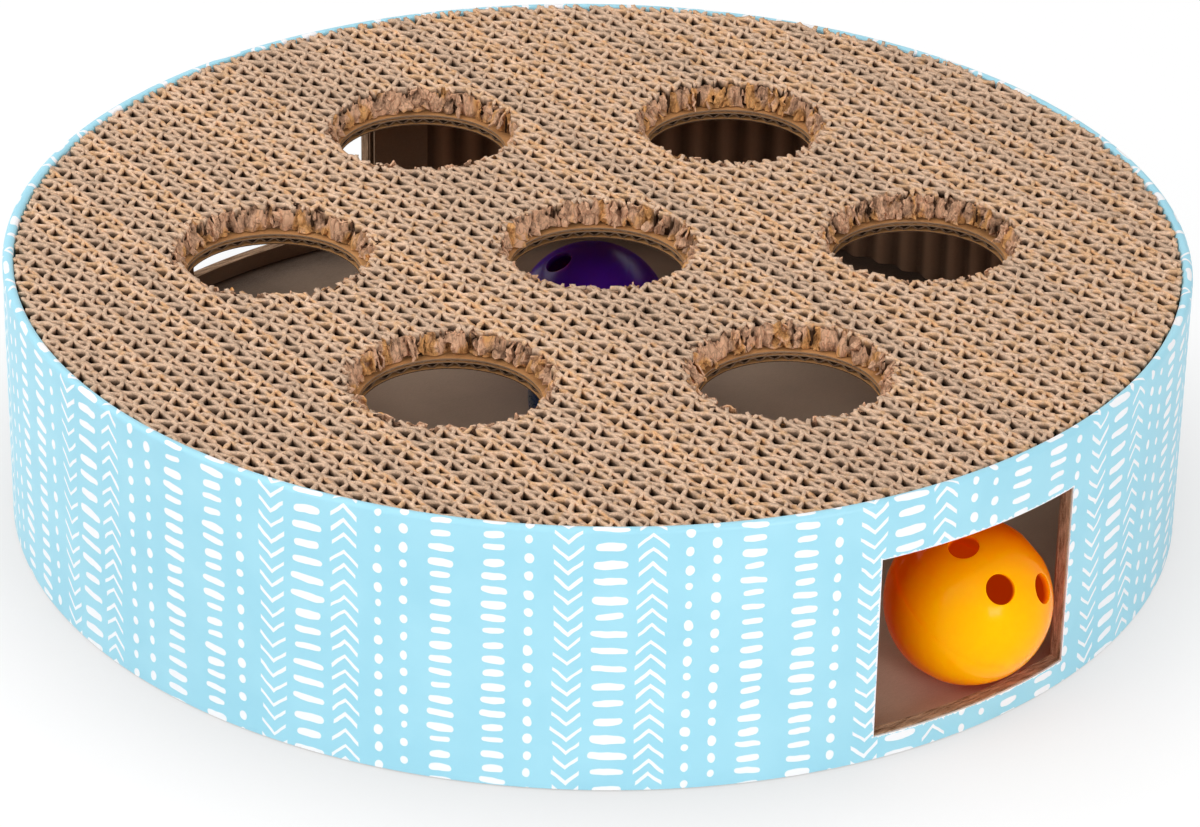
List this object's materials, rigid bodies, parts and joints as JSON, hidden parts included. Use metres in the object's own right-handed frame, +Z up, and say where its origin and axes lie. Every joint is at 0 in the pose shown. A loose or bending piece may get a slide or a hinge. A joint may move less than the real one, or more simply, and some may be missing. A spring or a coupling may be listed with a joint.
{
  "type": "cat puzzle feeder",
  "caption": "Round cardboard cat puzzle box: a corrugated scratching top with paw holes over a low printed drum with side windows and hollow balls rolling inside.",
  "frame": {"origin": "centre of the underside of the floor board, on the drum's axis", "axes": "+Z up along the drum's axis; the front window, with the orange ball in it, faces -Y; +X to the right of it"},
  "size_m": [0.305, 0.3106, 0.072],
  "materials": {
    "floor_kraft": "matte",
    "wall_kraft": "matte",
    "blue_print": "satin",
    "liner_kraft": "matte",
    "lap_kraft": "matte",
    "pad_kraft": "matte",
    "support_kraft": "matte",
    "orange_plastic": "gloss",
    "purple_plastic": "gloss",
    "blue_plastic": "gloss"
  },
  "bodies": {
    "box": {"floor_board": "floor_kraft", "wall_board": "wall_kraft", "printed_paper": "blue_print", "fluted_liner": "liner_kraft", "lap_strip": "lap_kraft"},
    "scratching_top": {"scratch_pad": "pad_kraft", "support_board": "support_kraft"},
    "orange_ball": {"orange_ball_upper": "orange_plastic", "orange_ball_lower": "orange_plastic"},
    "purple_ball": {"purple_ball_upper": "purple_plastic", "purple_ball_lower": "purple_plastic"},
    "blue_ball": {"blue_ball_upper": "blue_plastic", "blue_ball_lower": "blue_plastic"}
  },
  "joints": [
    {"name": "top_lift", "type": "slide", "parent": "box", "child": "scratching_top", "axis": [0, 0, 1], "range_m": [0, 0.12]},
    {"name": "orange_roll", "type": "slide", "parent": "box", "child": "orange_ball", "axis": [0, 1, 0], "range_m": [0, 0.085]},
    {"name": "purple_roll", "type": "slide", "parent": "box", "child": "purple_ball", "axis": [0, 1, 0], "range_m": [0, 0.085]},
    {"name": "blue_roll", "type": "slide", "parent": "box", "child": "blue_ball", "axis": [-1, 0, 0], "range_m": [0, 0.12]}
  ]
}
